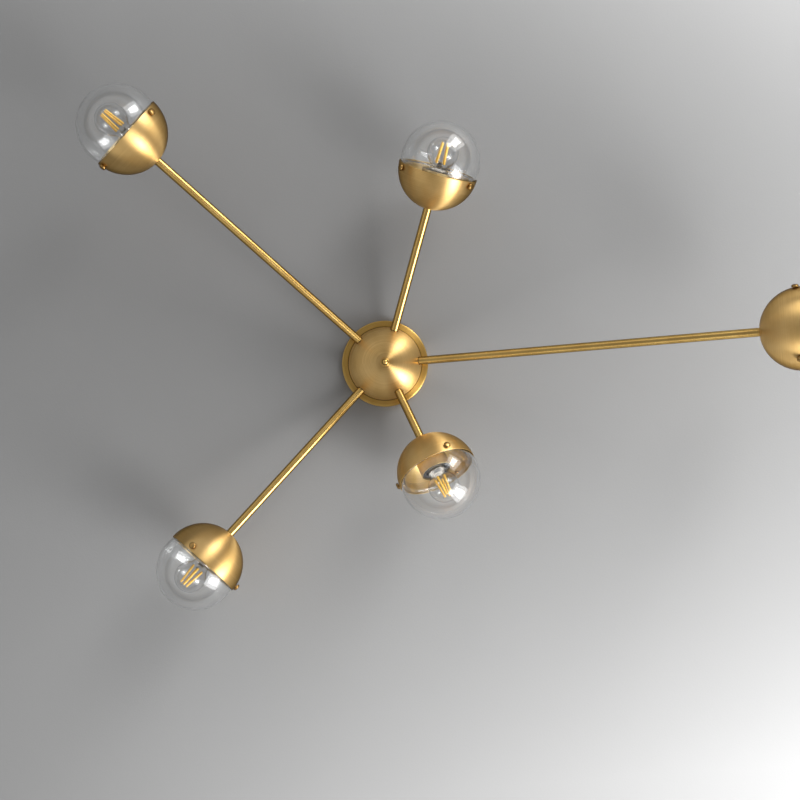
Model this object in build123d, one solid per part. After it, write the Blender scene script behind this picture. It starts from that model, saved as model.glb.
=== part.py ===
from build123d import *
import os
from math import cos, radians, sin, sqrt, tan

# Five-arm ceiling light, millimetres. Origin: centre of the ceiling face of the mount.
# +Z points up at the ceiling, so the whole light hangs in -Z. The longest arm runs out along +X.

# ---- arms ----
ARM_NAMES = ["1", "2", "3", "4", "5"]
ARM_AZIMUTH = {"1": 69.0, "2": -70.5, "3": 136.0, "4": -135.0, "5": 0.0}
ARM_DROP = {"1": 28.5, "2": 19.0, "3": 13.0, "4": 19.0, "5": 19.0}
SCREW_PHASE = {"1": -28.0, "2": 59.0, "3": 25.7, "4": 46.6, "5": 45.0}
SHORTEST_REACH = 200.0
REACH_STEP = 100.0
ARM_CROSSING_Z = -6.0
TUBE_R = 6.0
TUBE_WALL = 1.0
SPIGOT_R = 5.0
SPIGOT_BORE_R = 3.6
CUP_SPIGOT_LENGTH = 12.0

# ---- named clearances ----
THREAD_FIT = 0.05
GLASS_GAP = 0.3
HEAD_GAP = 0.35
SEAT_GAP = 0.3
ARM_HOLE_FIT = 0.2
STUD_HOLE_FIT = 0.2

# ---- ceiling plate and dome ----
PLATE_R = 65.0
PLATE_DEPTH = 8.0
PLATE_WALL = 1.5
PLATE_EDGE_ROUND = 2.0
RING_WALL = 1.5
RING_HEIGHT = 3.0
DOME_R = 55.0
DOME_HEIGHT = 46.0
DOME_WALL = 1.5
DOME_FLAT_R = 7.0

# ---- mounting bracket and centre stud ----
BRACKET_LENGTH = 110.0
BRACKET_WIDTH = 22.0
BRACKET_THICK = 2.0
BRACKET_SLOT_SPACING = 80.0
BRACKET_SLOT_LENGTH = 18.0
BRACKET_SLOT_WIDTH = 5.5
BRACKET_BOSS_R = 5.0
BRACKET_BOSS_HEIGHT = 3.0
STUD_R = 3.0
STUD_TOP_Z = -0.5
STUD_PROUD = 7.5

# ---- cap nut ----
NUT_FLANGE_R = 6.2
NUT_FLANGE_HEIGHT = 2.0
NUT_NECK_R = 3.9
NUT_BALL_R = 5.0
NUT_BALL_DROP = 8.8
NUT_BORE_SPARE = 1.0

# ---- arm hub inside the dome ----
HUB_R = 30.0
HUB_BORE_R = 23.0
HUB_TOP_Z = -4.5
HUB_FLOOR_Z = -27.0
HUB_FLOOR_THICK = 4.0
HUB_BOSS_R = 6.5
HUB_SPOT_FACE = 2.0

# ---- cup ----
CUP_R = 57.5
CUP_WALL = 1.2
CUP_FLAT_R = 9.0
SCREW_INSET = 7.0

# ---- locknut, socket cup and lampholder ----
LOCKNUT_FLATS = 14.0
LOCKNUT_THICK = 2.3
SOCKET_R = 22.5
SOCKET_WALL = 1.0
SOCKET_LENGTH = 52.3
SOCKET_ROUND = 8.0
HOLDER_R = 19.5
HOLDER_COLLAR_R = 21.2
HOLDER_COLLAR_HEIGHT = 4.0
HOLDER_LENGTH = 49.3
HOLDER_LIP_R = 17.0
HOLDER_LIP_DEPTH = 4.5
HOLDER_BORE_R = 14.6
HOLDER_LEAD_R = 3.0
SHELL_WALL = 0.8
SHELL_TOP_INSET = 5.0
SHELL_FIT = 0.1
CONTACT_R = 4.0
CONTACT_LIFT = 2.0

# ---- bulb, its heights measured from the top edge of its cap ----
BULB_R = 22.5
BULB_CENTRE = 25.0
BULB_NECK_R = 12.2
BULB_NECK_BLEND = 9.0
BULB_GLASS_WALL = 0.8
CAP_R = 13.0
CAP_WALL = 0.6
CAP_PROUD = 3.5
CAP_LENGTH = 27.2
CAP_BUTTON_R = 4.5
CAP_BUTTON_HEIGHT = 1.5
CAP_CONE_HEIGHT = 4.0
STEM_R = 4.5
STEM_BASE_R = 10.0
STEM_TOP = 11.5
FILAMENT_R = 1.05
FILAMENT_BASE = 7.5
FILAMENT_TIP = 40.5
FILAMENT_BASE_SPREAD = 8.0
FILAMENT_TIP_SPREAD = 5.0
FILAMENT_COUNT = 4
SUPPORT_R = 0.35
SUPPORT_FOOT = 1.0

# ---- globe ----
GLOBE_STEP = 0.5
GLOBE_CENTRE = 12.5
GLOBE_WALL = 1.8
GLOBE_CUT = -2.5
NECK_END = -14.0
NECK_CUP_GAP = 4.33
SHOULDER_ROUND = 2.6
NECK_ROUND = 1.4

# ---- thumbscrew ----
SCREW_R = 2.0
SCREW_HEAD_R = 4.75
SCREW_HEAD_HEIGHT = 3.6
SCREW_HEAD_ROUND = 1.6
SCREWS_PER_CUP = 3

# ---- leads and terminal block ----
LEAD_R = 1.5
LEAD_END_SPARE = 1.0
TERMINAL_LENGTH = 20.0
TERMINAL_WIDTH = 12.0
TERMINAL_HEIGHT = 12.0
TERMINAL_NEAR_X = -6.5
TERMINAL_ENTRY_FIT = 0.3
TERMINAL_ENTRY_DEPTH = 3.0
TERMINAL_ENTRY_Z = -9.0
TERMINAL_FRONT_Y = 6.0
TERMINAL_NEAR_ENTRY = 3.0
TERMINAL_FAR_ENTRY = 9.0

# ---- levels that follow from the sizes above ----
CUP_FLAT_AT = -sqrt(CUP_R ** 2 - CUP_FLAT_R ** 2)
CUP_INNER_R = CUP_R - CUP_WALL
CUP_FLOOR_AT = CUP_FLAT_AT + CUP_WALL
SOCKET_BACK_AT = CUP_FLOOR_AT + LOCKNUT_THICK
HOLDER_BACK_AT = SOCKET_BACK_AT + SOCKET_WALL
SPIGOT_END_AT = CUP_FLAT_AT + CUP_SPIGOT_LENGTH
SOCKET_MOUTH_AT = SOCKET_BACK_AT + SOCKET_LENGTH
HOLDER_MOUTH_AT = HOLDER_BACK_AT + HOLDER_LENGTH
CAP_TOP_AT = HOLDER_MOUTH_AT + CAP_PROUD
CAP_END_AT = CAP_TOP_AT - CAP_LENGTH
CONTACT_TOP_AT = CAP_END_AT - SEAT_GAP
CONTACT_BASE_AT = CONTACT_TOP_AT - CONTACT_LIFT
SHELL_R = HOLDER_BORE_R - SHELL_FIT
SHELL_TOP_AT = HOLDER_MOUTH_AT - SHELL_TOP_INSET
BULB_CENTRE_AT = CAP_TOP_AT + BULB_CENTRE
STEM_TOP_AT = CAP_TOP_AT + STEM_TOP
GLOBE_R = CUP_R - GLOBE_STEP
NECK_R = sqrt(CUP_INNER_R ** 2 - NECK_END ** 2) - NECK_CUP_GAP
DOME_BASE_Z = -PLATE_DEPTH
HUB_BASE_Z = HUB_FLOOR_Z - HUB_FLOOR_THICK


def ellipse_depth(across, down, reach):
    return down * sqrt(1.0 - (reach / across) ** 2)


DOME_FLAT_Z = DOME_BASE_Z - ellipse_depth(DOME_R, DOME_HEIGHT, DOME_FLAT_R)
DOME_INSIDE_FLAT_Z = DOME_FLAT_Z + DOME_WALL
TERMINAL_X = TERMINAL_NEAR_X - TERMINAL_WIDTH / 2.0
TERMINAL_TOP_Z = -BRACKET_THICK


def reach_of(arm):
    return SHORTEST_REACH + REACH_STEP * ARM_NAMES.index(arm)


def arm_vector(arm):
    turn = radians(ARM_AZIMUTH[arm])
    drop = radians(ARM_DROP[arm])
    return Vector(cos(turn) * cos(drop), sin(turn) * cos(drop), -sin(drop))


def arm_point(arm, along):
    return Vector(0, 0, ARM_CROSSING_Z) + arm_vector(arm) * along


def rim_frame(arm):
    # local Z runs out along the arm from the rim plane of the cup, local X is the lower side
    drop = radians(ARM_DROP[arm])
    turn = radians(ARM_AZIMUTH[arm])
    lower = Vector(-cos(turn) * sin(drop), -sin(turn) * sin(drop), -cos(drop))
    return Plane(origin=arm_point(arm, reach_of(arm)), x_dir=lower, z_dir=arm_vector(arm))


def place(arm, shape):
    return rim_frame(arm).location * shape


def drum(radius, low, high):
    return Pos(0, 0, (low + high) / 2.0) * Cylinder(radius, high - low)


def rod(start, end, radius):
    line = end - start
    bar = Cylinder(radius, line.length, align=(Align.CENTER, Align.CENTER, Align.MIN))
    return Plane(origin=start, z_dir=line).location * bar


def half_section(points):
    # closed outline given as (radius, height) pairs, turned about the vertical axis
    outline = Polyline(*[(r, 0, z) for r, z in points], close=True)
    return revolve(make_face(outline), Axis.Z)


def right_half(face, size):
    return face & (Pos(size / 2.0, 0) * Rectangle(size, 4.0 * size))


def turned(face):
    # a flat outline drawn in XY (X = radius, Y = height) is stood up and turned about Z
    return revolve(Plane.XZ.location * face, Axis.Z)


def save(shape, name):
    export_step(shape, "parts/" + name + ".step")


# ---------------- ceiling mount ----------------
def make_bracket():
    strap = drum(BRACKET_BOSS_R, -BRACKET_THICK - BRACKET_BOSS_HEIGHT, -BRACKET_THICK / 2.0)
    strap += Pos(0, 0, -BRACKET_THICK / 2.0) * Box(BRACKET_LENGTH, BRACKET_WIDTH, BRACKET_THICK)
    strap -= drum(STUD_R + THREAD_FIT, -BRACKET_THICK - BRACKET_BOSS_HEIGHT, 0.0)
    slot = extrude(SlotOverall(BRACKET_SLOT_LENGTH, BRACKET_SLOT_WIDTH), BRACKET_THICK, both=True)
    for side in (-1, 1):
        strap -= Pos(side * BRACKET_SLOT_SPACING / 2.0, 0, 0) * slot
    return strap


def make_plate():
    bottom = -PLATE_DEPTH
    pan = drum(PLATE_R, bottom, 0.0)
    pan = fillet(pan.edges().sort_by(Axis.Z)[0], PLATE_EDGE_ROUND)
    pan -= drum(PLATE_R - PLATE_WALL, bottom + PLATE_WALL, 0.0)
    ring_r = DOME_R - DOME_WALL - SEAT_GAP
    pan += drum(ring_r, bottom - RING_HEIGHT, bottom + PLATE_WALL / 2.0)
    pan -= drum(ring_r - RING_WALL, bottom - RING_HEIGHT, 0.0)
    return pan


def dome_solid(across, down, flat_z):
    half = right_half(Ellipse(across, down), across)
    half -= Pos(0, across) * Rectangle(4.0 * across, 2.0 * across)
    half -= Pos(0, flat_z - DOME_BASE_Z - across) * Rectangle(4.0 * across, 2.0 * across)
    return Pos(0, 0, DOME_BASE_Z) * turned(half)


def make_dome():
    dome = dome_solid(DOME_R, DOME_HEIGHT, DOME_FLAT_Z)
    dome -= dome_solid(DOME_R - DOME_WALL, DOME_HEIGHT - DOME_WALL, DOME_INSIDE_FLAT_Z)
    dome -= drum(STUD_R + STUD_HOLE_FIT, DOME_FLAT_Z, DOME_BASE_Z)
    for arm in ARM_NAMES:
        dome -= rod(arm_point(arm, HUB_R), arm_point(arm, 1.6 * DOME_R), TUBE_R + ARM_HOLE_FIT)
    return dome


def hub_seat(arm):
    # distance along the arm at which the tube shoulder sits in its spot face
    return (HUB_R - HUB_SPOT_FACE) / cos(radians(ARM_DROP[arm]))


def hub_mouth(arm):
    return (HUB_BORE_R - LEAD_END_SPARE) / cos(radians(ARM_DROP[arm]))


def make_hub():
    hub = drum(HUB_R, HUB_BASE_Z, HUB_TOP_Z)
    hub -= drum(HUB_BORE_R, HUB_FLOOR_Z, HUB_TOP_Z)
    hub += drum(HUB_BOSS_R, DOME_INSIDE_FLAT_Z, HUB_BASE_Z + HUB_FLOOR_THICK / 2.0)
    hub -= drum(STUD_R + STUD_HOLE_FIT, DOME_INSIDE_FLAT_Z, HUB_FLOOR_Z)
    for arm in ARM_NAMES:
        seat = arm_point(arm, hub_seat(arm))
        hub -= rod(seat, arm_point(arm, 2.0 * HUB_R), TUBE_R + THREAD_FIT)
        hub -= rod(arm_point(arm, HUB_BORE_R / 2.0), seat, SPIGOT_R + THREAD_FIT)
    return hub


def make_stud():
    return drum(STUD_R, DOME_FLAT_Z - STUD_PROUD, STUD_TOP_Z)


def make_cap_nut():
    nut = drum(NUT_FLANGE_R, DOME_FLAT_Z - NUT_FLANGE_HEIGHT, DOME_FLAT_Z)
    nut = chamfer(nut.edges().sort_by(Axis.Z)[0], NUT_FLANGE_HEIGHT / 3.0)
    ball_z = DOME_FLAT_Z - NUT_BALL_DROP
    nut += drum(NUT_NECK_R, ball_z, DOME_FLAT_Z - NUT_FLANGE_HEIGHT / 2.0)
    nut += Pos(0, 0, ball_z) * Sphere(NUT_BALL_R)
    nut -= drum(STUD_R + THREAD_FIT, DOME_FLAT_Z - STUD_PROUD - NUT_BORE_SPARE, DOME_FLAT_Z)
    return nut


# ---------------- one arm, drawn from the rim plane of its cup ----------------
def make_tube(arm):
    shoulder = hub_seat(arm) - reach_of(arm)
    mouth = hub_mouth(arm) - reach_of(arm)
    tube = drum(TUBE_R, shoulder, CUP_FLAT_AT)
    tube += drum(SPIGOT_R, mouth, shoulder)
    tube += drum(SPIGOT_R, CUP_FLAT_AT, SPIGOT_END_AT)
    tube -= drum(TUBE_R - TUBE_WALL, shoulder + SPIGOT_R, CUP_FLAT_AT - SPIGOT_R)
    tube -= drum(SPIGOT_BORE_R, mouth, SPIGOT_END_AT)
    return tube


def cup_solid(radius, flat_at):
    ball = Sphere(radius)
    ball -= drum(2.0 * radius, 0.0, 2.0 * radius)
    return ball - drum(radius, flat_at - radius, flat_at)


def screw_frame(phase):
    # local Z points away from the arm axis along the screw
    turn = radians(phase)
    return Plane(origin=(0, 0, -SCREW_INSET), x_dir=(0, 0, 1), z_dir=(cos(turn), sin(turn), 0))


def screw_phases(arm):
    return [SCREW_PHASE[arm] + 360.0 / SCREWS_PER_CUP * k for k in range(SCREWS_PER_CUP)]


def make_cup(arm):
    cup = cup_solid(CUP_R, CUP_FLAT_AT) - cup_solid(CUP_INNER_R, CUP_FLOOR_AT)
    cup -= drum(SPIGOT_R + THREAD_FIT, CUP_FLAT_AT, CUP_FLOOR_AT)
    for phase in screw_phases(arm):
        cup -= screw_frame(phase).location * drum(SCREW_R + THREAD_FIT, NECK_R, CUP_R + CUP_WALL)
    return cup


def make_locknut():
    sides = RegularPolygon(LOCKNUT_FLATS / 2.0, 6, major_radius=False)
    nut = Pos(0, 0, CUP_FLOOR_AT) * extrude(sides, LOCKNUT_THICK)
    return nut - drum(SPIGOT_R + THREAD_FIT, CUP_FLOOR_AT, SOCKET_BACK_AT)


def make_socket_cup():
    can = drum(SOCKET_R, SOCKET_BACK_AT, SOCKET_MOUTH_AT)
    can = fillet(can.edges().sort_by(Axis.Z)[0], SOCKET_ROUND)
    core = drum(SOCKET_R - SOCKET_WALL, HOLDER_BACK_AT, SOCKET_MOUTH_AT)
    core = fillet(core.edges().sort_by(Axis.Z)[0], SOCKET_ROUND - SOCKET_WALL)
    return can - core - drum(SPIGOT_R + THREAD_FIT, SOCKET_BACK_AT, HOLDER_BACK_AT)


def make_lampholder():
    mouth = HOLDER_MOUTH_AT
    body = drum(HOLDER_R, HOLDER_BACK_AT, mouth)
    body = chamfer(body.edges().sort_by(Axis.Z)[0], SOCKET_ROUND * 0.75)
    body += drum(HOLDER_COLLAR_R, mouth - HOLDER_COLLAR_HEIGHT, mouth)
    body -= drum(HOLDER_LIP_R, mouth - HOLDER_LIP_DEPTH, mouth)
    body -= drum(HOLDER_BORE_R, CONTACT_BASE_AT, mouth)
    body -= drum(SPIGOT_R + THREAD_FIT, HOLDER_BACK_AT, SPIGOT_END_AT)
    body -= drum(HOLDER_LEAD_R, SPIGOT_END_AT, CONTACT_BASE_AT)
    return body


def make_contacts():
    shell = drum(SHELL_R, CONTACT_BASE_AT, SHELL_TOP_AT)
    shell -= drum(SHELL_R - SHELL_WALL, CONTACT_BASE_AT + SHELL_WALL, SHELL_TOP_AT)
    shell -= drum(2.0 * CONTACT_R, CONTACT_BASE_AT, SHELL_TOP_AT)
    tongue = drum(CONTACT_R, CONTACT_BASE_AT, CONTACT_TOP_AT)
    return [shell, tongue]


def bulb_body(shrink):
    ball = Pos(0, BULB_CENTRE_AT) * Circle(BULB_R - shrink)
    neck_middle = CAP_TOP_AT + BULB_CENTRE / 2.0
    neck = Pos(0, neck_middle) * Rectangle(2.0 * (BULB_NECK_R - shrink), BULB_CENTRE)
    both = ball + neck
    waist = both.vertices().filter_by(lambda v: CAP_TOP_AT + CAP_WALL < v.Y < BULB_CENTRE_AT)
    both = fillet(waist, BULB_NECK_BLEND + shrink)
    return turned(right_half(both, 2.0 * BULB_R))


def make_bulb_glass():
    return bulb_body(0.0) - bulb_body(BULB_GLASS_WALL)


def make_bulb_core():
    thread_low = CAP_END_AT + CAP_BUTTON_HEIGHT + CAP_CONE_HEIGHT
    cap = drum(CAP_R, thread_low, CAP_TOP_AT) - drum(CAP_R - CAP_WALL, thread_low + CAP_WALL, CAP_TOP_AT)
    cone = half_section([
        (0.0, thread_low),
        (CAP_R - CAP_WALL, thread_low),
        (CAP_BUTTON_R, CAP_END_AT + CAP_BUTTON_HEIGHT),
        (0.0, CAP_END_AT + CAP_BUTTON_HEIGHT),
    ])
    button = drum(CAP_BUTTON_R, CAP_END_AT, CAP_END_AT + CAP_BUTTON_HEIGHT)
    button = chamfer(button.edges().sort_by(Axis.Z)[0], CAP_BUTTON_HEIGHT / 2.0)
    stem = half_section([
        (0.0, thread_low + CAP_WALL),
        (STEM_BASE_R, thread_low + CAP_WALL),
        (STEM_BASE_R, thread_low + 3.0 * CAP_WALL),
        (STEM_R, CAP_TOP_AT),
        (STEM_R, STEM_TOP_AT - STEM_R),
        (STEM_R / 2.0, STEM_TOP_AT),
        (0.0, STEM_TOP_AT),
    ])
    crown = Vector(0, 0, CAP_TOP_AT + FILAMENT_TIP)
    wires = rod(Vector(0, 0, STEM_TOP_AT), crown, SUPPORT_R)
    filaments = []
    for k in range(FILAMENT_COUNT):
        turn = radians(360.0 / FILAMENT_COUNT * (k + 0.5))
        out = Vector(cos(turn), sin(turn), 0)
        base = out * FILAMENT_BASE_SPREAD + Vector(0, 0, CAP_TOP_AT + FILAMENT_BASE)
        tip = out * FILAMENT_TIP_SPREAD + crown
        filaments.append(rod(base, tip, FILAMENT_R))
        wires += rod(crown, tip, SUPPORT_R)
        wires += Pos(*tip) * Sphere(SUPPORT_R)
        wires += rod(out * STEM_R * 0.8 + Vector(0, 0, CAP_TOP_AT + SUPPORT_FOOT), base, SUPPORT_R)
    wires -= stem
    for filament in filaments:
        wires -= filament
    return [cap, cone, button, stem] + filaments + list(wires.solids())


def globe_solid(radius, cut, neck_r, neck_end, convex, concave):
    ball = Pos(0, GLOBE_CENTRE) * Circle(radius)
    ball -= Pos(0, cut - 2.0 * radius) * Rectangle(4.0 * radius, 4.0 * radius)
    ball = fillet(ball.vertices(), convex)
    neck_top = cut + radius / 4.0
    ball += Pos(0, (neck_end + neck_top) / 2.0) * Rectangle(2.0 * neck_r, neck_top - neck_end)
    halfway = (neck_end + cut) / 2.0
    corners = ball.vertices().filter_by(lambda v: abs(abs(v.X) - neck_r) < 0.01 and v.Y > halfway)
    ball = fillet(corners, concave)
    return turned(right_half(ball, 2.0 * radius))


def make_globe():
    outside = globe_solid(GLOBE_R, GLOBE_CUT, NECK_R, NECK_END, SHOULDER_ROUND, NECK_ROUND)
    inside = globe_solid(
        GLOBE_R - GLOBE_WALL,
        GLOBE_CUT + GLOBE_WALL,
        NECK_R - GLOBE_WALL,
        NECK_END,
        SHOULDER_ROUND - GLOBE_WALL,
        NECK_ROUND + GLOBE_WALL,
    )
    return outside - inside


def make_screw():
    seat = CUP_R + HEAD_GAP
    head = drum(SCREW_HEAD_R, seat, seat + SCREW_HEAD_HEIGHT)
    head = fillet(head.edges().sort_by(Axis.Z)[-1], SCREW_HEAD_ROUND)
    return head + drum(SCREW_R, NECK_R + GLASS_GAP, seat + SCREW_HEAD_HEIGHT / 2.0)


# ---------------- leads and terminal block ----------------
def entry_point(arm):
    # where the lead of each arm enters the terminal block
    far_x = TERMINAL_NEAR_X - TERMINAL_FAR_ENTRY
    near_x = TERMINAL_NEAR_X - TERMINAL_NEAR_ENTRY
    side_y = TERMINAL_LENGTH / 2.0
    spots = {
        "5": (TERMINAL_NEAR_X, TERMINAL_FRONT_Y),
        "1": (near_x, side_y),
        "2": (near_x, -side_y),
        "3": (far_x, side_y),
        "4": (far_x, -side_y),
    }
    x, y = spots[arm]
    return Vector(x, y, TERMINAL_ENTRY_Z)


def entry_inward(arm):
    if arm == "5":
        return Vector(-1, 0, 0)
    return Vector(0, -1 if entry_point(arm).Y > 0 else 1, 0)


def make_terminal():
    middle_z = TERMINAL_TOP_Z - TERMINAL_HEIGHT / 2.0
    block = Pos(TERMINAL_X, 0, middle_z) * Box(TERMINAL_WIDTH, TERMINAL_LENGTH, TERMINAL_HEIGHT)
    for arm in ARM_NAMES:
        spot = entry_point(arm)
        deep = spot + entry_inward(arm) * TERMINAL_ENTRY_DEPTH
        block -= rod(spot, deep, LEAD_R + TERMINAL_ENTRY_FIT)
    return block


def make_lead(arm):
    lamp_end = arm_point(arm, reach_of(arm) + SPIGOT_END_AT + LEAD_END_SPARE)
    turn_at = arm_point(arm, hub_mouth(arm) - 2.0 * LEAD_R)
    outside = entry_point(arm) - entry_inward(arm) * LEAD_R * 1.5
    inside = entry_point(arm) + entry_inward(arm) * (TERMINAL_ENTRY_DEPTH - LEAD_END_SPARE / 2.0)
    lead = rod(lamp_end, turn_at, LEAD_R) + Pos(*turn_at) * Sphere(LEAD_R)
    lead += rod(turn_at, outside, LEAD_R) + Pos(*outside) * Sphere(LEAD_R)
    return lead + rod(outside, inside, LEAD_R)


# ---------------- write every node ----------------
os.makedirs("parts", exist_ok=True)
save(make_bracket(), "mounting_bracket")
save(make_plate(), "base_plate")
save(make_dome(), "canopy_dome")
save(make_hub(), "arm_hub")
save(make_stud(), "center_stud")
save(make_cap_nut(), "cap_nut")
save(make_terminal(), "terminal_block")
save(Compound(children=[make_lead(arm) for arm in ARM_NAMES]), "lamp_leads")

locknut = make_locknut()
contacts = make_contacts()
save(Compound(children=[place(arm, locknut) for arm in ARM_NAMES]), "cup_locknuts")
save(Compound(children=[place(arm, c) for arm in ARM_NAMES for c in contacts]), "lampholder_contacts")

socket_cup = make_socket_cup()
lampholder = make_lampholder()
bulb_glass = make_bulb_glass()
bulb_core = make_bulb_core()
globe = make_globe()
screw = make_screw()
for arm in ARM_NAMES:
    save(place(arm, make_tube(arm)), "arm_tube_" + arm)
    save(place(arm, make_cup(arm)), "cup_" + arm)
    save(place(arm, socket_cup), "socket_cup_" + arm)
    save(place(arm, lampholder), "lampholder_" + arm)
    save(place(arm, bulb_glass), "bulb_glass_" + arm)
    save(Compound(children=[place(arm, piece) for piece in bulb_core]), "bulb_core_" + arm)
    save(place(arm, globe), "globe_" + arm)
    for letter, phase in zip("abc", screw_phases(arm)):
        save(place(arm, screw_frame(phase).location * screw), "thumbscrew_" + arm + letter)
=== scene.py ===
from math import asin, atan2, cos, degrees, pi, radians, sin, sqrt

import bpy
from mathutils import Matrix, Vector


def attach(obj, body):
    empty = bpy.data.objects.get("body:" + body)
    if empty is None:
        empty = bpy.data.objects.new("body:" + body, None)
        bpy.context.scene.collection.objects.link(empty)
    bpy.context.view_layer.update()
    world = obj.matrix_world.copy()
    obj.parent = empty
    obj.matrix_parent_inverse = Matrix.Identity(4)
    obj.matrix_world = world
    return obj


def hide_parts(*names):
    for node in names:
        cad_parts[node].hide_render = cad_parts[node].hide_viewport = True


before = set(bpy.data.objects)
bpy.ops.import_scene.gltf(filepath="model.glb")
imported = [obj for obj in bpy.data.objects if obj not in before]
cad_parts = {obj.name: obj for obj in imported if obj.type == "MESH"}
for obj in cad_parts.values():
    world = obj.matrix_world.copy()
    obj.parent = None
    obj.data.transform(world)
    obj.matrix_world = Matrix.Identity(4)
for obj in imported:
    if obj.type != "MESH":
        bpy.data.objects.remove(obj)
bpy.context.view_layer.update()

# A five-arm brass ceiling light. Lengths in this file are millimetres until they meet Blender.
MM = 0.001
ARMS = ["1", "2", "3", "4", "5"]
AZIMUTH = {"1": 69.0, "2": -70.5, "3": 136.0, "4": -135.0, "5": 0.0}
DROP = {"1": 28.5, "2": 19.0, "3": 13.0, "4": 19.0, "5": 19.0}
SCREW_PHASE = {"1": -28.0, "2": 59.0, "3": 25.7, "4": 46.6, "5": 45.0}
REACH = {"1": 200.0, "2": 300.0, "3": 400.0, "4": 500.0, "5": 600.0}
FILAMENT_TURN = {"1": -27.0, "2": 7.0, "3": 40.0, "4": 18.0, "5": 12.0}
FILAMENT_R = 1.55
CUP_R = 57.5
DOME_R = 55.0
DOME_HEIGHT = 46.0
DOME_WALL = 1.5
PLATE_DEPTH = 8.0
TUBE_R = 6.0
SPIGOT_R = 5.0
CUP_BACK = -56.79
CROSSING_Z = -6.0
SCREW_INSET = 7.0
DOME_FLAT_Z = -53.62
WELD = 1e-6
TURNED_MAP = "turned"


# ------------------------------------------------------------------ camera
CAMERA_PLACE = (-0.002884, 0.079393, -1.803726)
CAMERA_ROLL = 3.98
CAMERA_TILT_X = -0.7796
CAMERA_TILT_Y = -0.8089
CAMERA_LENS = 53.58


def set_camera():
    """Straight up from below, rolled so that arm 5 runs right, and a degree off square to the
    ceiling, as fitted to the outlines in the photograph."""
    roll = Matrix.Rotation(radians(CAMERA_ROLL), 4, "Z")
    place = roll @ Vector(CAMERA_PLACE)
    tilt_x = Matrix.Rotation(radians(CAMERA_TILT_X), 3, "X")
    tilt_y = Matrix.Rotation(radians(CAMERA_TILT_Y), 3, "Y")
    turn = tilt_y @ tilt_x
    right = roll @ Vector(turn[0])
    down = roll @ Vector(turn[1])
    ahead = roll @ Vector(turn[2])
    bpy.ops.object.camera_add(location=place)
    camera = bpy.context.object
    camera.name = "camera"
    axes = Matrix((right, -down, -ahead)).transposed()
    camera.matrix_world = Matrix.Translation(place) @ axes.to_4x4()
    camera.data.sensor_width = 36.0
    camera.data.lens = CAMERA_LENS
    camera.data.clip_start = 0.01
    camera.data.clip_end = 50.0
    bpy.context.scene.camera = camera


# ------------------------------------------------------------------ finishes
class Value:
    """A shader socket that is added, subtracted and multiplied like a number."""

    def __init__(self, finish, socket):
        self.finish = finish
        self.socket = socket

    def math(self, operation, *terms):
        return self.finish.make("ShaderNodeMath", {"operation": operation}, list(terms))

    def __add__(self, other):
        return self.math("ADD", self, other)

    def __sub__(self, other):
        return self.math("SUBTRACT", self, other)

    def __rsub__(self, other):
        return self.math("SUBTRACT", other, self)

    def __mul__(self, other):
        return self.math("MULTIPLY", self, other)

    __radd__ = __add__
    __rmul__ = __mul__

    def between(self, low, high):
        """0 below low, 1 above high, smooth between."""
        settings = {"interpolation_type": "SMOOTHSTEP"}
        sockets = {"Value": self, "From Min": low, "From Max": high}
        return self.finish.make("ShaderNodeMapRange", settings, sockets)


class Finish:
    """One material and its nodes."""

    def __init__(self, name):
        self.material = bpy.data.materials.new(name)
        self.material.use_nodes = True
        self.tree = self.material.node_tree
        self.tree.nodes.clear()

    def make(self, kind, settings=None, sockets=None, out=0):
        node = self.tree.nodes.new(kind)
        for key, value in (settings or {}).items():
            setattr(node, key, value)
        pairs = sockets.items() if isinstance(sockets, dict) else enumerate(sockets or [])
        for key, value in pairs:
            if isinstance(value, Value):
                self.tree.links.new(value.socket, node.inputs[key])
            else:
                node.inputs[key].default_value = value
        return Value(self, node.outputs[out]) if node.outputs else None

    def blend(self, factor, first, second):
        """A colour between two colours."""
        node = self.tree.nodes.new("ShaderNodeMix")
        node.data_type = "RGBA"
        for key, value in ((0, factor), (6, first), (7, second)):
            if isinstance(value, Value):
                self.tree.links.new(value.socket, node.inputs[key])
            elif key == 0:
                node.inputs[key].default_value = value
            else:
                node.inputs[key].default_value = (*value, 1)
        return Value(self, node.outputs[2])

    def noise(self, vector, scale, detail=3.0, roughness=0.5):
        sockets = {"Vector": vector, "Scale": scale, "Detail": detail, "Roughness": roughness}
        return self.make("ShaderNodeTexNoise", {}, sockets, out="Fac")

    def object_place(self):
        return self.make("ShaderNodeTexCoord", out="Object")

    def stretched(self, vector, scale):
        sockets = {"Vector": vector, "Scale": scale}
        return self.make("ShaderNodeMapping", {}, sockets)

    def bump(self, height, strength, distance):
        sockets = {"Height": height, "Strength": strength, "Distance": distance}
        return self.make("ShaderNodeBump", {}, sockets)

    def surface(self, sockets):
        self.finished(self.make("ShaderNodeBsdfPrincipled", {}, sockets))
        return self.material

    def finished(self, shader):
        self.make("ShaderNodeOutputMaterial", {}, {"Surface": shader})


GOLDEN = ((0.88, 0.590, 0.235), (0.73, 0.455, 0.150))
# Paler brass for the insides of the cups: painted light, in place of the light inside them.
PALE = ((0.77, 0.570, 0.255), (0.65, 0.450, 0.170))
MELLOW = ((0.78, 0.510, 0.150), (0.66, 0.405, 0.100))
AGED = ((0.70, 0.465, 0.150), (0.60, 0.375, 0.108))
# Painted shade: a darkened brass for the screws, standing in for the dark their heads reflect.
DUSKY = ((0.47, 0.285, 0.095), (0.36, 0.21, 0.062))
# Dark brown painted into joints and gaps as shade.
SHADE_PAINT = (0.10, 0.055, 0.02)


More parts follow.
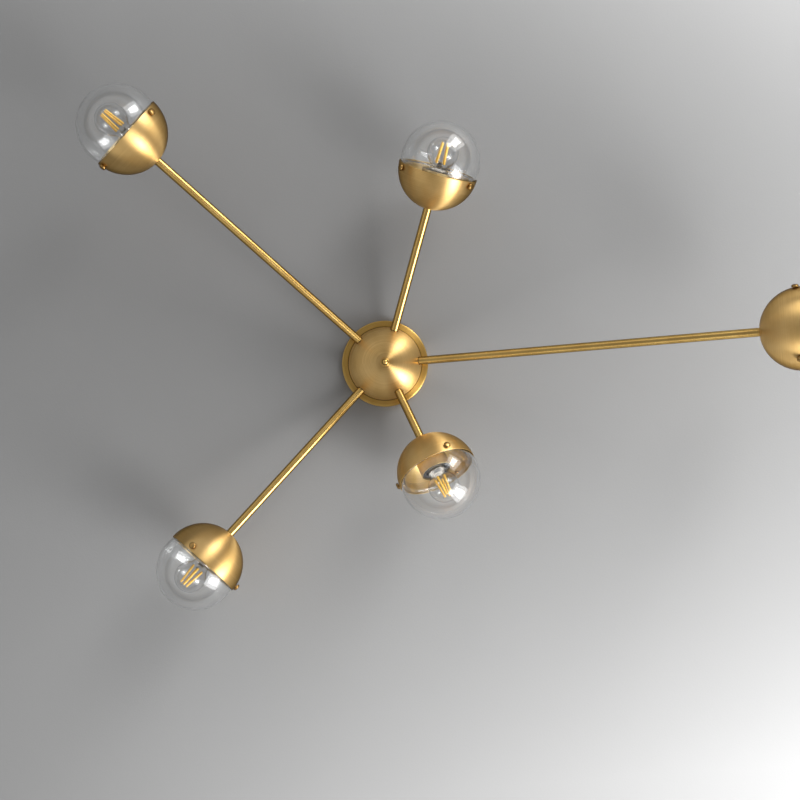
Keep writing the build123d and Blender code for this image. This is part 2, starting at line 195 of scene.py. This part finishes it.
def turned_brass(name, roughness, anisotropy, tones=GOLDEN, shade_mask=None, edge=0.15, coat=0.35):
    """Brass brushed on a lathe: fine rings round the axis, which draw each highlight out along the
    profile."""
    finish = Finish(name)
    uv = finish.make("ShaderNodeUVMap", {"uv_map": TURNED_MAP})
    rings = finish.noise(finish.stretched(uv, (1600.0, 5.0, 1.0)), 1.0, 2.0, 0.6)
    bands = finish.noise(finish.stretched(uv, (260.0, 1.4, 1.0)), 1.0, 2.0, 0.5)
    cloud = finish.noise(finish.object_place(), 26.0, 3.0, 0.55)
    wear = cloud * 0.5 + bands * 0.5
    colour = finish.blend(wear.between(0.36, 0.64), tones[1], tones[0])
    # Painted shade: the dark brown is mixed in where the mask is set.
    if shade_mask:
        colour = finish.blend(shade_mask(finish), colour, SHADE_PAINT)
    rough = roughness - 0.05 + rings * 0.07 + cloud * 0.04
    tangent = finish.make("ShaderNodeTangent", {"direction_type": "UV_MAP", "uv_map": TURNED_MAP})
    return finish.surface({
        "Base Color": colour,
        "Metallic": 1.0,
        "Roughness": rough,
        "Anisotropic": anisotropy,
        "Tangent": tangent,
        "Specular Tint": (edge, edge * 0.87, edge * 0.67, 1.0),
        "Coat Weight": coat,
        "Coat Roughness": 0.30,
        "Normal": finish.bump(rings, 0.05, 0.0002),
    })


def xyz(finish):
    """The three object coordinates, which are frame coordinates too."""
    split = finish.tree.nodes.new("ShaderNodeSeparateXYZ")
    finish.tree.links.new(finish.object_place().socket, split.inputs[0])
    return [Value(finish, socket) for socket in split.outputs]


SEAM_R = 55.3


def seam_shade(finish):
    """Painted shade in the joint between dome and plate: a thin dark ring."""
    x, y, z = xyz(finish)
    square = x * x + y * y
    off = square.math("SQRT", square) - SEAM_R * MM
    off = off.math("ABSOLUTE", off)
    return (1.0 - off.between(0.3 * MM, 1.3 * MM)) * z.between(-10.0 * MM, -9.0 * MM) * 0.8


def nut_shade(finish):
    """Painted shade on the back of the ball and the neck behind it."""
    x, y, z = xyz(finish)
    return z.between(-66.3 * MM, -64.9 * MM) * (1.0 - z.between(-56.6 * MM, -55.9 * MM)) * 0.85


def mouth_shade(finish):
    """Painted shade in the gap round each tube where it comes out of the dome."""
    x, y, z = xyz(finish)
    fall = (z + PLATE_DEPTH * MM) * (1.0 / (DOME_HEIGHT * MM))
    swell = (x * x + y * y) * (1.0 / (DOME_R * MM) ** 2) + fall * fall
    return (1.0 - swell.between(1.03, 1.06)) * 0.85


def plain_metal(name, dark, light, roughness, grain):
    finish = Finish(name)
    place = finish.object_place()
    cloud = finish.noise(place, grain, 4.0, 0.6)
    speck = finish.noise(place, grain * 9.0, 2.0, 0.5)
    return finish.surface({
        "Base Color": finish.blend(cloud, dark, light),
        "Metallic": 1.0,
        "Roughness": roughness + cloud * 0.08 + speck * 0.05,
        "Normal": finish.bump(speck, 0.08, 0.0002),
    })


def moulded(name, dark, light, roughness, grain, shine=0.5):
    finish = Finish(name)
    place = finish.object_place()
    cloud = finish.noise(place, grain, 3.0, 0.5)
    speck = finish.noise(place, grain * 14.0, 2.0, 0.5)
    return finish.surface({
        "Base Color": finish.blend(cloud, dark, light),
        "Roughness": roughness + speck * 0.12,
        "Specular IOR Level": shine,
        "Normal": finish.bump(speck, 0.1, 0.0003),
    })


def clear_glass(name, tint, waviness, haze, ior=1.47):
    """Blown glass with a faint unevenness. It passes lamp light straight through to what is behind."""
    finish = Finish(name)
    swell = finish.noise(finish.object_place(), 14.0, 2.0, 0.4)
    glass = finish.make("ShaderNodeBsdfPrincipled", {}, {
        "Base Color": (*tint, 1.0),
        "Roughness": 0.0,
        "IOR": ior,
        "Transmission Weight": 1.0,
        "Coat Weight": haze,
        "Coat Roughness": 0.14,
        "Normal": finish.bump(swell, waviness, 0.001),
    })
    clear = finish.make("ShaderNodeBsdfTransparent", {}, {"Color": (0.96, 0.96, 0.96, 1.0)})
    shadow = finish.make("ShaderNodeLightPath", out="Is Shadow Ray")
    finish.finished(finish.make("ShaderNodeMixShader", {}, [shadow, glass, clear]))
    return finish.material


def coated_glowing_filament(name):
    """The yellow coat of a lamp filament, with the row of small chips just showing through, and a faint
    painted glow although the lamp is off.
    """
    finish = Finish(name)
    place = finish.object_place()
    cloud = finish.noise(place, 900.0, 2.0, 0.5)
    return finish.surface({
        "Base Color": finish.blend(cloud, (0.78, 0.42, 0.040), (0.93, 0.60, 0.09)),
        "Roughness": 0.42 + cloud * 0.15,
        # Painted glow: the filament shines faintly although the lamp is off.
        "Emission Color": (0.9, 0.47, 0.04, 1.0),
        "Emission Strength": 0.22,
        "Normal": finish.bump(cloud, 0.3, 0.0002),
    })


CEILING_HOLE_R = 0.060
CEILING_REACH = {"From Min": -0.65, "From Max": 0.65, "To Min": -0.65, "To Max": 0.65}


def ceiling_paint_and_light(name):
    """Matt grey paint with painted light: lighter towards the bright corner of the room, where more light
    falls. It is clear from above, and open over the plate, so that a view from above shows what the plate
    holds."""
    finish = Finish(name)
    place = finish.object_place()
    along, across = [
        finish.make("ShaderNodeMapRange", {"clamp": True}, {"Value": value, **CEILING_REACH})
        for value in xyz(finish)[:2]
    ]
    mottle = finish.noise(place, 9.0, 5.0, 0.6)
    grain = finish.noise(place, 420.0, 2.0, 0.5)
    # Painted light: the tone of the paint rises towards the bright corner of the room.
    level = along * 0.07 + across * 0.16 + along * along * 0.14 + across * across * 0.41 + 0.255
    level = level + along * across * (across * 0.33 - along * 0.15) - across * across * across * 0.18
    level = level - along * along * across * across * 0.12
    tone = finish.blend(level + mottle * 0.012 - 0.006, (0.0, 0.0, 0.0), (1.0, 1.0, 1.0))
    paint = finish.make("ShaderNodeBsdfPrincipled", {}, {
        "Base Color": tone,
        "Roughness": 0.85,
        "Specular IOR Level": 0.2,
        "Normal": finish.bump(grain + mottle, 0.06, 0.002),
    })
    clear = finish.make("ShaderNodeBsdfTransparent")
    behind = finish.make("ShaderNodeNewGeometry", out="Backfacing")
    middle = along * along + across * across
    box_hole = middle.math("LESS_THAN", middle, CEILING_HOLE_R * CEILING_HOLE_R)
    seen_through = behind.math("MAXIMUM", behind, box_hole)
    finish.finished(finish.make("ShaderNodeMixShader", {}, [seen_through, paint, clear]))
    return finish.material


# ------------------------------------------------------------------ modelling tools
def nothing_selected():
    if bpy.context.object and bpy.context.object.mode != "OBJECT":
        bpy.ops.object.mode_set(mode="OBJECT")
    bpy.ops.object.select_all(action="DESELECT")


def arc(across, up, radius, start, end, count):
    """Points on an arc of a half outline, from one angle to another in degrees."""
    points = []
    for k in range(count + 1):
        angle = radians(start + (end - start) * k / count)
        points.append((across + radius * cos(angle), up + radius * sin(angle)))
    return points


def turned(name, outline, steps=96):
    """A closed half outline of (radius, height) points, spun round the Z axis."""
    nothing_selected()
    radius, height = outline[0]
    bpy.ops.mesh.primitive_plane_add(size=MM, location=(radius * MM, 0, height * MM))
    piece = bpy.context.object
    piece.name = name
    bpy.ops.object.transform_apply(location=True, rotation=False, scale=False)
    bpy.ops.object.mode_set(mode="EDIT")
    bpy.ops.mesh.select_all(action="SELECT")
    bpy.ops.mesh.merge(type="CENTER")
    for next_radius, next_height in outline[1:] + outline[:1]:
        step = ((next_radius - radius) * MM, 0, (next_height - height) * MM)
        bpy.ops.mesh.extrude_region_move(TRANSFORM_OT_translate={"value": step})
        radius, height = next_radius, next_height
    bpy.ops.mesh.select_all(action="SELECT")
    bpy.ops.mesh.remove_doubles(threshold=WELD)
    bpy.ops.mesh.select_all(action="SELECT")
    bpy.ops.mesh.spin(steps=steps, angle=2 * pi, center=(0, 0, 0), axis=(0, 0, 1))
    bpy.ops.mesh.select_all(action="SELECT")
    bpy.ops.mesh.remove_doubles(threshold=WELD)
    bpy.ops.mesh.select_all(action="SELECT")
    bpy.ops.mesh.normals_make_consistent(inside=False)
    bpy.ops.object.mode_set(mode="OBJECT")
    bpy.ops.object.shade_smooth_by_angle(angle=radians(32))
    lay_turned_map(piece)
    return piece


def lay_turned_map(piece):
    """A map whose first direction runs along the profile and whose second runs round the axis."""
    mesh = piece.data
    layer = mesh.uv_layers[0] if mesh.uv_layers else mesh.uv_layers.new(name=TURNED_MAP)
    layer.name = TURNED_MAP
    for face in mesh.polygons:
        middle = atan2(face.center.y, face.center.x)
        for loop in face.loop_indices:
            spot = mesh.vertices[mesh.loops[loop].vertex_index].co
            radius = sqrt(spot.x ** 2 + spot.y ** 2)
            angle = atan2(spot.y, spot.x) if radius > WELD else middle
            if angle - middle > pi:
                angle -= 2 * pi
            if angle - middle < -pi:
                angle += 2 * pi
            layer.data[loop].uv = ((radius + spot.z) * 4.0, angle / (2 * pi))


def rod(name, start, end, radius, sides=12):
    """A straight bar with softened ends between two points in millimetres."""
    nothing_selected()
    start, end = Vector(start) * MM, Vector(end) * MM
    line = end - start
    bpy.ops.mesh.primitive_cylinder_add(vertices=sides, radius=radius * MM, depth=line.length)
    bar = bpy.context.object
    bar.name = name
    bpy.ops.object.mode_set(mode="EDIT")
    bpy.ops.mesh.select_all(action="SELECT")
    bpy.ops.mesh.bevel(offset=radius * MM * 0.45, segments=2, affect="EDGES", clamp_overlap=True)
    bpy.ops.object.mode_set(mode="OBJECT")
    bpy.ops.object.shade_smooth_by_angle(angle=radians(50))
    aimed = line.to_track_quat("Z", "Y").to_matrix().to_4x4()
    bar.matrix_world = Matrix.Translation((start + end) / 2) @ aimed
    bpy.ops.object.transform_apply(location=True, rotation=True, scale=True)
    return bar


def joined(name, parts):
    nothing_selected()
    for part in parts:
        part.select_set(True)
    bpy.context.view_layer.objects.active = parts[0]
    bpy.ops.object.join()
    parts[0].name = name
    return parts[0]


def copy_of(pattern, name, place):
    """A copy of a pattern piece with its own mesh, put at its place in the mesh itself."""
    nothing_selected()
    piece = pattern.copy()
    piece.data = pattern.data.copy()
    piece.name = name
    bpy.context.collection.objects.link(piece)
    piece.select_set(True)
    bpy.context.view_layer.objects.active = piece
    piece.matrix_world = place
    bpy.ops.object.transform_apply(location=True, rotation=True, scale=True)
    return piece


def thrown_away(*patterns):
    for pattern in patterns:
        bpy.data.objects.remove(pattern, do_unlink=True)


def dress(piece, material, body, slot, *nodes):
    piece.data.materials.clear()
    piece.data.materials.append(material)
    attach(piece, body)
    if nodes:
        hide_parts(*nodes)
    return piece


def line_inside(piece, inside, material):
    """The inner faces of a shell get a material of their own."""
    piece.data.materials.append(material)
    piece.data.polygons.foreach_set("material_index", [int(inner) for inner in inside])


def repaint(node, material):
    carried = bpy.data.objects[node]
    carried.data.materials.clear()
    carried.data.materials.append(material)


# ------------------------------------------------------------------ where things are
def rim_place(arm):
    """Local Z runs out along the arm from the rim of its cup, local X to its lower side."""
    turn, drop = radians(AZIMUTH[arm]), radians(DROP[arm])
    ahead = Vector((cos(turn) * cos(drop), sin(turn) * cos(drop), -sin(drop)))
    lower = Vector((-cos(turn) * sin(drop), -sin(turn) * sin(drop), -cos(drop)))
    side = ahead.cross(lower)
    middle = (Vector((0, 0, CROSSING_Z)) + ahead * REACH[arm]) * MM
    return Matrix.Translation(middle) @ Matrix((lower, side, ahead)).transposed().to_4x4()


def screw_place(arm, index):
    turn = radians(SCREW_PHASE[arm] + 120.0 * index)
    outward = Vector((cos(turn), sin(turn), 0))
    first = Vector((0, 0, 1))
    second = outward.cross(first)
    middle = Vector((0, 0, -SCREW_INSET * MM))
    local = Matrix.Translation(middle) @ Matrix((first, second, outward)).transposed().to_4x4()
    return rim_place(arm) @ local


# ------------------------------------------------------------------ outlines of the turned pieces
def ellipse_points(across, down, base, start_r, end_r, count):
    """Points down a half ellipse below base, evenly spaced in angle, between two radii."""
    first, last = asin(min(1.0, start_r / across)), asin(min(1.0, end_r / across))
    points = []
    for k in range(count + 1):
        angle = first + (last - first) * k / count
        points.append((across * sin(angle), base - down * cos(angle)))
    return points


def plate_outline():
    outline = [(51.7, -6.5), (51.7, -11.0), (52.0, -11.2), (52.9, -11.2), (53.2, -11.0), (53.2, -8.0)]
    outline += [(60.0, -8.0)] + arc(63.0, -6.0, 2.0, -90, 0, 6)
    outline += [(65.0, -0.2), (64.8, 0.0), (63.7, 0.0), (63.5, -0.2), (63.5, -6.2), (63.2, -6.5)]
    return outline


def dome_outline():
    outline = [(3.2, DOME_FLAT_Z), (6.9, DOME_FLAT_Z)]
    outline += ellipse_points(DOME_R, DOME_HEIGHT, -PLATE_DEPTH, 7.3, 54.98, 48)
    outline += [(54.9, -8.05), (54.6, -8.0), (53.7, -8.0), (53.5, -8.1)]
    outline += ellipse_points(DOME_R - DOME_WALL, DOME_HEIGHT - DOME_WALL, -PLATE_DEPTH, 53.4, 6.9, 32)
    outline += [(3.2, DOME_FLAT_Z + DOME_WALL)]
    return outline


def cap_nut_outline():
    """Washer-like flange, hollow neck and ball, below the flat of the dome."""
    profile = [(3.05, -8.3), (3.05, 0.0), (6.0, 0.0), (6.2, -0.2), (6.2, -1.2)]
    profile += [(5.8, -1.8), (4.9, -2.2), (3.6, -2.5), (3.25, -3.2), (3.3, -4.3), (3.7, -5.2)]
    profile += arc(0.0, -8.8, 5.0, 43, -84, 18)
    profile += [(0.0, -13.8), (0.0, -8.9)]
    return [(radius, DOME_FLAT_Z + height) for radius, height in profile]


def cup_outline():
    rim = [(56.3, -0.35), (56.45, -0.08), (56.7, 0.0), (57.15, 0.0), (57.42, -0.1), (57.5, -0.35)]
    outer = arc(0.0, 0.0, CUP_R, -1.0, -80.6, 56)
    inner = arc(0.0, 0.0, 56.3, -80.6, -1.0, 44)
    back = [(5.05, CUP_BACK), (5.05, -55.59), (8.6, -55.59)]
    return back + inner + rim + outer + [(9.0, CUP_BACK)]


def tube_outline(arm):
    """Shoulder in the hub at one end, threaded spigots at both, and a small turned bead at the cup."""
    shoulder = 28.0 / cos(radians(DROP[arm])) - REACH[arm]
    mouth = 22.0 / cos(radians(DROP[arm])) - REACH[arm]
    outline = [(3.6, mouth), (4.7, mouth), (SPIGOT_R, mouth + 0.3), (SPIGOT_R, shoulder)]
    outline += [(5.7, shoulder), (TUBE_R, shoulder + 0.3)]
    length = CUP_BACK - shoulder
    for k in range(1, 12):
        outline.append((TUBE_R, shoulder + length * k / 12.0))
    outline += [(TUBE_R, -57.1), (5.7, CUP_BACK), (SPIGOT_R, CUP_BACK), (SPIGOT_R, -45.1)]
    outline += [(4.7, -44.79), (3.6, -44.79)]
    return outline


def socket_cup_outline():
    outline = [(5.05, -52.29), (5.05, -53.29), (14.5, -53.29)]
    outline += arc(14.5, -45.29, 8.0, -80, -5, 8)
    outline += [(22.5, -45.0), (22.5, -20.0), (22.5, -1.4), (22.35, -1.1), (22.1, -1.0), (21.8, -1.0)]
    outline += [(21.55, -1.1), (21.5, -1.4), (21.5, -20.0), (21.5, -45.0)]
    outline += arc(14.5, -45.29, 7.0, -5, -80, 7)
    return outline


def lampholder_outline():
    outline = [(14.6, -29.0), (14.6, -4.4), (14.9, -3.6), (15.6, -3.1), (16.4, -3.0)]
    outline += [(18.9, -3.0), (19.7, -3.3), (20.0, -3.9), (20.0, -6.7), (19.8, -7.0), (19.5, -7.0)]
    for k in range(8):
        level = -10.0 - 3.2 * k
        outline += [(19.5, level), (19.1, level - 0.5), (19.1, level - 1.1), (19.5, level - 1.6)]
    outline += [(19.5, -46.2), (13.6, -52.29), (5.05, -52.29), (5.05, -44.79), (3.0, -44.79)]
    outline += [(3.0, -29.0)]
    return outline


def globe_outline():
    """Blown globe with its open neck: outer wall, ground neck edge, inner wall."""
    outer_low = degrees(asin((-1.9 - 12.5) / 57.0))
    inner_low = degrees(asin((-0.4 - 12.5) / 55.2))
    outline = arc(0.0, 12.5, 57.0, 90, outer_low, 60)
    outline += [(54.75, -2.55), (54.1, -3.0), (53.2, -3.15), (51.9, -3.2), (50.9, -3.5), (50.4, -4.1)]
    outline += [(50.2, -5.0), (50.2, -9.0), (50.2, -13.5), (49.9, -13.9), (49.4, -14.0), (48.9, -13.95)]
    outline += [(48.4, -13.5), (48.4, -9.0), (48.4, -4.2), (48.7, -3.0), (49.5, -2.0), (50.8, -1.5)]
    outline += [(52.5, -1.35), (53.3, -1.15)]
    outline += arc(0.0, 12.5, 55.2, inner_low, 90, 56)
    return outline


def bulb_side(shrink, count):
    """The glass of the bulb from the tip to the cap, as one smooth half outline."""
    ball = 22.5 - shrink
    neck = 12.2 - shrink
    blend = 9.0 + shrink
    level = 25.5 - sqrt((ball + blend) ** 2 - (neck + blend) ** 2)
    touch = degrees(atan2(level - 25.5, neck + blend))
    points = arc(0.0, 25.5, ball, 90, touch, count)
    points += arc(neck + blend, level, blend, touch + 180, 180, 8)[1:]
    return points + [(neck, 0.5)]


def bulb_outline():
    return bulb_side(0.0, 40) + bulb_side(0.8, 36)[::-1]


def cap_outline():
    """The threaded cap of the bulb: skirt, rolled thread, shoulder, dark insulator groove and contact."""
    outline = [(12.3, 0.5), (12.9, 0.45), (13.0, 0.2), (13.0, -1.6), (12.6, -2.4)]
    for k in range(5):
        level = -3.2 - 3.6 * k
        outline += [(12.15, level), (12.35, level - 0.6), (12.95, level - 1.5), (13.0, level - 1.9)]
        outline += [(12.95, level - 2.3), (12.35, level - 3.0)]
    outline += [(12.2, -21.0), (11.4, -21.6), (0.0, -21.6), (0.0, -20.8), (11.2, -20.8)]
    outline += [(11.5, -20.0), (11.6, 0.5)]
    return outline


def cement_outline():
    """The pale ring of cement that holds the glass in its cap, closed over by the foot of the stem."""
    return [(0.0, -4.4), (11.3, -4.4), (11.3, -0.4), (10.9, -0.3), (9.6, -1.0), (7.6, -1.9), (0.0, -2.2)]


def insulator_outline():
    return [(0.0, -21.6), (11.3, -21.7), (8.6, -23.2), (5.0, -25.1), (4.2, -25.3), (0.0, -25.3)]


def contact_outline():
    return [(0.0, -25.3), (4.4, -25.3), (4.5, -25.7), (4.1, -26.4), (3.0, -26.65), (0.0, -26.7)]


def stem_outline():
    outline = [(0.0, -2.1), (7.4, -1.8), (7.2, -1.2), (6.0, -0.2), (5.0, 1.4), (4.4, 4.0)]
    outline += [(3.9, 6.6), (3.3, 9.0), (2.7, 10.8), (1.8, 11.7), (0.0, 12.0)]
    return outline


def screw_outline():
    """Domed head with a small neck under it and a threaded shank, along local Z from the arm axis."""
    outline = [(0.0, 50.5), (1.5, 50.5), (1.9, 50.9)]
    for k in range(7):
        level = 51.0 + 0.8 * k
        outline += [(2.0, level + 0.1), (1.75, level + 0.4)]
    outline += [(2.0, 56.9), (2.0, 57.85), (4.2, 57.85), (4.6, 58.1), (4.75, 58.6), (4.75, 59.5)]
    outline += [(4.62, 60.1), (4.2, 60.7), (3.4, 61.15), (2.2, 61.4), (0.0, 61.45)]
    return outline


# ------------------------------------------------------------------ build
set_camera()

brass = turned_brass("brushed_brass", 0.41, 0.87)
dome_brass = turned_brass("dome_brass", 0.41, 0.87, GOLDEN, seam_shade)
plate_brass = turned_brass("plate_brass", 0.41, 0.87, MELLOW, seam_shade, 0.15, 0.2)
tube_brass = turned_brass("tube_brass", 0.24, 0.92, AGED, mouth_shade, 0.05, 0.1)
# Painted light: a paler brass inside the cups and on the socket cups.
inside_brass_painted_pale = turned_brass("cup_inside_brass_painted_pale", 0.38, 0.5, PALE)
screw_brass = turned_brass("screw_brass", 0.26, 0.0, DUSKY, None, 0.08, 0.2)
nut_brass = turned_brass("nut_brass", 0.32, 0.0, MELLOW, nut_shade)
zinc = plain_metal("zinc_steel", (0.50, 0.51, 0.52), (0.66, 0.67, 0.68), 0.34, 60.0)
contact = plain_metal("contact_brass", (0.62, 0.47, 0.22), (0.74, 0.60, 0.32), 0.26, 90.0)
cap_metal = plain_metal("cap_nickel", (0.58, 0.54, 0.46), (0.72, 0.68, 0.60), 0.22, 120.0)
wire_metal = plain_metal("support_wire", (0.35, 0.34, 0.33), (0.50, 0.49, 0.47), 0.30, 200.0)
thermoset = moulded("black_thermoset", (0.012, 0.012, 0.013), (0.022, 0.022, 0.024), 0.45, 80.0, 0.2)
cap_cement = moulded("cap_cement", (0.52, 0.50, 0.46), (0.66, 0.64, 0.60), 0.75, 120.0)
vitrite = moulded("cap_insulator", (0.02, 0.018, 0.02), (0.05, 0.045, 0.05), 0.20, 120.0)
terminal_white = moulded("terminal_plastic", (0.70, 0.70, 0.67), (0.80, 0.80, 0.77), 0.42, 70.0)
sheath = moulded("lead_sheath", (0.58, 0.56, 0.50), (0.68, 0.66, 0.60), 0.40, 50.0)
globe_glass = clear_glass("globe_glass", (0.985, 0.99, 0.99), 0.02, 0.40)
bulb_clear = clear_glass("bulb_glass", (0.99, 0.99, 0.99), 0.02, 0.15)
stem_glass = clear_glass("stem_glass", (0.99, 0.99, 0.99), 0.05, 0.0, 1.12)
filament_coat_and_glow = coated_glowing_filament("filament_coat_and_glow")

FRAME = "light_frame"
dress(turned("ceiling_plate", plate_outline(), 128), plate_brass, FRAME, "satin_brass", "base_plate")
dress(turned("dome", dome_outline(), 128), dome_brass, FRAME, "satin_brass", "canopy_dome")
dress(turned("ball_cap_nut", cap_nut_outline(), 48), nut_brass, "cap_nut_turning", "satin_brass", "cap_nut")

cup = turned("cup_pattern", cup_outline(), 112)
socket_cup = turned("socket_cup_pattern", socket_cup_outline(), 72)
lampholder = turned("lampholder_pattern", lampholder_outline(), 64)
globe = turned("globe_pattern", globe_outline(), 112)
bulb = turned("bulb_pattern", bulb_outline(), 80)
cap = turned("cap_pattern", cap_outline(), 56)
insulator = turned("insulator_pattern", insulator_outline(), 40)
cement = turned("cement_pattern", cement_outline(), 40)
button = turned("contact_pattern", contact_outline(), 32)
stem = turned("stem_pattern", stem_outline(), 36)
screw = turned("screw_pattern", screw_outline(), 36)

cup_inside = [face.center.dot(face.normal) < 0 for face in cup.data.polygons]
coats, wires = [], []
for k in range(4):
    turn = radians(90.0 * (k + 0.5))
    out = Vector((cos(turn), sin(turn), 0))
    low = out * 8.0 + Vector((0, 0, 8.0))
    high = out * 5.0 + Vector((0, 0, 41.0))
    slope = (high - low).normalized()
    coats.append(rod("coat", low + slope * 1.6, high - slope * 1.6, FILAMENT_R, 14))
    wires.append(rod("wire", low, low + slope * 2.0, 0.32, 8))
    wires.append(rod("wire", high - slope * 2.0, high, 0.32, 8))
    wires.append(rod("wire", high, Vector((0, 0, 41.6)), 0.3, 8))
    wires.append(rod("wire", low, out * 3.4 + Vector((0, 0, 4.6)), 0.32, 8))
wires.append(rod("wire", Vector((0, 0, 11.0)), Vector((0, 0, 41.8)), 0.35, 8))
filaments = joined("filament_pattern", coats)
supports = joined("support_pattern", wires)

for arm in ARMS:
    place = rim_place(arm)
    bulb_body, globe_body = "bulb_loose_" + arm, "globe_loose_" + arm
    tube = turned("tube_pattern", tube_outline(arm), 48)
    dress(
        copy_of(tube, "brass_tube_" + arm, place), tube_brass, FRAME, "satin_brass", "arm_tube_" + arm)
    thrown_away(tube)
    shell = dress(copy_of(cup, "brass_cup_" + arm, place), brass, FRAME, "satin_brass", "cup_" + arm)
    line_inside(shell, cup_inside, inside_brass_painted_pale)
    dress(
        copy_of(socket_cup, "inner_cup_" + arm, place), inside_brass_painted_pale, FRAME, "satin_brass",
        "socket_cup_" + arm)
    dress(
        copy_of(lampholder, "holder_" + arm, place), thermoset, FRAME, "black_thermoset",
        "lampholder_" + arm)
    dress(
        copy_of(globe, "glass_globe_" + arm, place), globe_glass, globe_body, "globe_clear_glass",
        "globe_" + arm)
    dress(
        copy_of(bulb, "bulb_envelope_" + arm, place), bulb_clear, bulb_body, "bulb_clear_glass",
        "bulb_glass_" + arm)
    dress(copy_of(cap, "bulb_cap_" + arm, place), cap_metal, bulb_body, "bulb_cap_metal", "bulb_core_" + arm)
    dress(copy_of(insulator, "cap_insulator_" + arm, place), vitrite, bulb_body, "bulb_cap_metal")
    dress(copy_of(button, "cap_contact_" + arm, place), cap_metal, bulb_body, "bulb_cap_metal")
    dress(copy_of(cement, "cap_cement_" + arm, place), cap_cement, bulb_body, "terminal_plastic")
    dress(copy_of(stem, "bulb_stem_" + arm, place), stem_glass, bulb_body, "bulb_clear_glass")
    turned_place = place @ Matrix.Rotation(radians(FILAMENT_TURN[arm]), 4, "Z")
    dress(copy_of(filaments, "filaments_" + arm, turned_place), filament_coat_and_glow, bulb_body, "bulb_cap_metal")
    dress(copy_of(supports, "support_wires_" + arm, turned_place), wire_metal, bulb_body, "bulb_cap_metal")
    for index, letter in enumerate("abc"):
        head = copy_of(screw, "clamp_screw_" + arm + letter, screw_place(arm, index))
        body = "thumbscrew_turning_" + arm + letter
        dress(head, screw_brass, body, "satin_brass", "thumbscrew_" + arm + letter)
thrown_away(cup, socket_cup, lampholder, globe, bulb, cap, insulator, button, cement, stem, screw)
thrown_away(filaments, supports)

for node in ("mounting_bracket", "center_stud", "arm_hub", "cup_locknuts"):
    repaint(node, zinc)
repaint("lampholder_contacts", contact)
repaint("terminal_block", terminal_white)
repaint("lamp_leads", sheath)

# ------------------------------------------------------------------ stage and light
nothing_selected()
CEILING_SIZE = 14.0
CEILING_Z = 0.0008
bpy.ops.mesh.primitive_plane_add(size=CEILING_SIZE, location=(0, 0, CEILING_Z), rotation=(pi, 0, 0))
ceiling = bpy.context.object
ceiling.name = "ceiling"
bpy.ops.object.transform_apply(location=True, rotation=True, scale=True)
ceiling.data.materials.append(ceiling_paint_and_light("ceiling_paint_and_light"))


def soft_box(name, azimuth, below, distance, wide, tall, power, colour):
    turn, drop = radians(azimuth), radians(below)
    away = Vector((cos(turn) * cos(drop), sin(turn) * cos(drop), -sin(drop)))
    bpy.ops.object.light_add(type="AREA", location=away * distance)
    lamp = bpy.context.object
    lamp.name = name
    lamp.rotation_euler = away.to_track_quat("Z", "Y").to_euler()
    lamp.data.shape = "RECTANGLE"
    lamp.data.size = wide
    lamp.data.size_y = tall
    lamp.data.energy = power
    lamp.data.color = colour
    lamp.visible_camera = False


DAYLIGHT = (1.0, 1.0, 1.0)
MAIN = (42.5, 27.0)
SECOND = (-48.0, 29.0)
soft_box("main_soft_box", *MAIN, 2.6, 0.75, 1.3, 34.0, DAYLIGHT)
soft_box("main_soft_halo", *MAIN, 2.7, 1.7, 2.2, 42.0, DAYLIGHT)
soft_box("second_soft_box", *SECOND, 2.6, 0.65, 1.2, 17.0, DAYLIGHT)
soft_box("second_soft_halo", *SECOND, 2.7, 1.5, 2.0, 21.0, DAYLIGHT)

world = bpy.context.scene.world or bpy.data.worlds.new("room")
bpy.context.scene.world = world
world.use_nodes = True
room = world.node_tree
background = room.nodes["Background"]
aim = room.nodes.new("ShaderNodeTexCoord")
split = room.nodes.new("ShaderNodeSeparateXYZ")
depth = room.nodes.new("ShaderNodeMapRange")
depth.inputs["From Min"].default_value = -1.0
depth.inputs["From Max"].default_value = 0.0
shade = room.nodes.new("ShaderNodeValToRGB")
ROOM_SHADES = [
    (0.0, 0.20), (0.08, 0.26), (0.25, 0.44), (0.42, 0.62),
    (0.58, 0.83), (0.70, 0.62), (0.82, 0.20), (1.0, 0.08),
]
stops = shade.color_ramp.elements
for place, tone in ROOM_SHADES[1:-1]:
    stops.new(place)
for stop, (place, tone) in zip(stops, ROOM_SHADES):
    stop.position = place
    stop.color = (tone, tone, tone, 1.0)
room.links.new(aim.outputs["Generated"], split.inputs[0])
room.links.new(split.outputs[2], depth.inputs["Value"])
room.links.new(depth.outputs[0], shade.inputs[0])
room.links.new(shade.outputs[0], background.inputs["Color"])
background.inputs["Strength"].default_value = 1.0

bpy.context.scene.view_settings.view_transform = "Standard"
